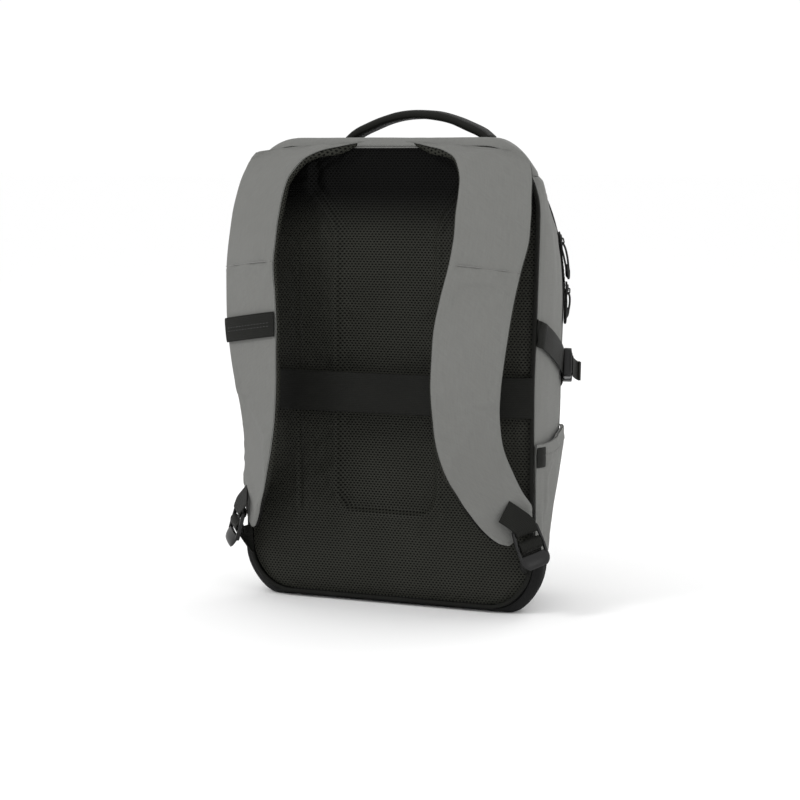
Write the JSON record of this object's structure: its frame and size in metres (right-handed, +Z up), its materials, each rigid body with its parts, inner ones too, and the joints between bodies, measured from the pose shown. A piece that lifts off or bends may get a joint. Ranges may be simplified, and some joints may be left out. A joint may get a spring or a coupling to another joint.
{
  "type": "laptop backpack",
  "caption": "Upright grey and black laptop backpack with padded shoulder straps, mesh back, pass-through band, zip, side pockets, side straps with buckles, and a grab handle.",
  "frame": {"origin": "middle of the flat base, under the middle of the bag's depth", "axes": "+Z up, the padded back with the shoulder straps faces -Y, +X is to the right when the padded back is looked at"},
  "size_m": [0.3514, 0.2547, 0.4978],
  "materials": {
    "grey_cloth": "plain woven polyester, matt, mid grey",
    "black_cloth": "plain woven polyester, matt, black",
    "black_mesh": "spacer mesh with small holes over foam, black",
    "black_webbing": "ribbed polyester webbing, black, slight sheen",
    "black_plastic": "moulded acetal, black, half gloss"
  },
  "bodies": {
    "root": {"back_panel": "black_mesh", "back_binding": "black_cloth", "luggage_band": "black_webbing", "side_panel_right": "grey_cloth", "side_panel_left": "grey_cloth", "top_panel": "grey_cloth", "base_panel": "black_cloth", "front_panel": "grey_cloth", "main_zip": "black_cloth", "zip_slider_upper": "black_plastic", "zip_pull_upper": "black_plastic", "zip_slider_lower": "black_plastic", "zip_pull_lower": "black_plastic", "bottle_pocket_right": "grey_cloth", "bottle_pocket_left": "grey_cloth", "side_label": "black_cloth", "strap_face_right": "grey_cloth", "strap_face_left": "grey_cloth", "strap_lining_right": "black_mesh", "strap_lining_left": "black_mesh", "strap_sleeve": "black_webbing", "strap_end_tab_right": "black_webbing", "strap_end_tab_left": "black_webbing", "ladder_lock_right": "black_plastic", "ladder_lock_left": "black_plastic", "lower_webbing_right": "black_webbing", "lower_webbing_left": "black_webbing", "webbing_anchor_right": "black_webbing", "webbing_anchor_left": "black_webbing", "side_strap_right": "black_webbing", "side_strap_left": "black_webbing", "side_strap_front_right": "black_webbing", "side_strap_front_left": "black_webbing", "side_buckle_right": "black_plastic", "side_buckle_left": "black_plastic", "strap_tail_right": "black_webbing", "strap_tail_left": "black_webbing", "top_handle": "black_webbing"}
  },
  "joints": []
}
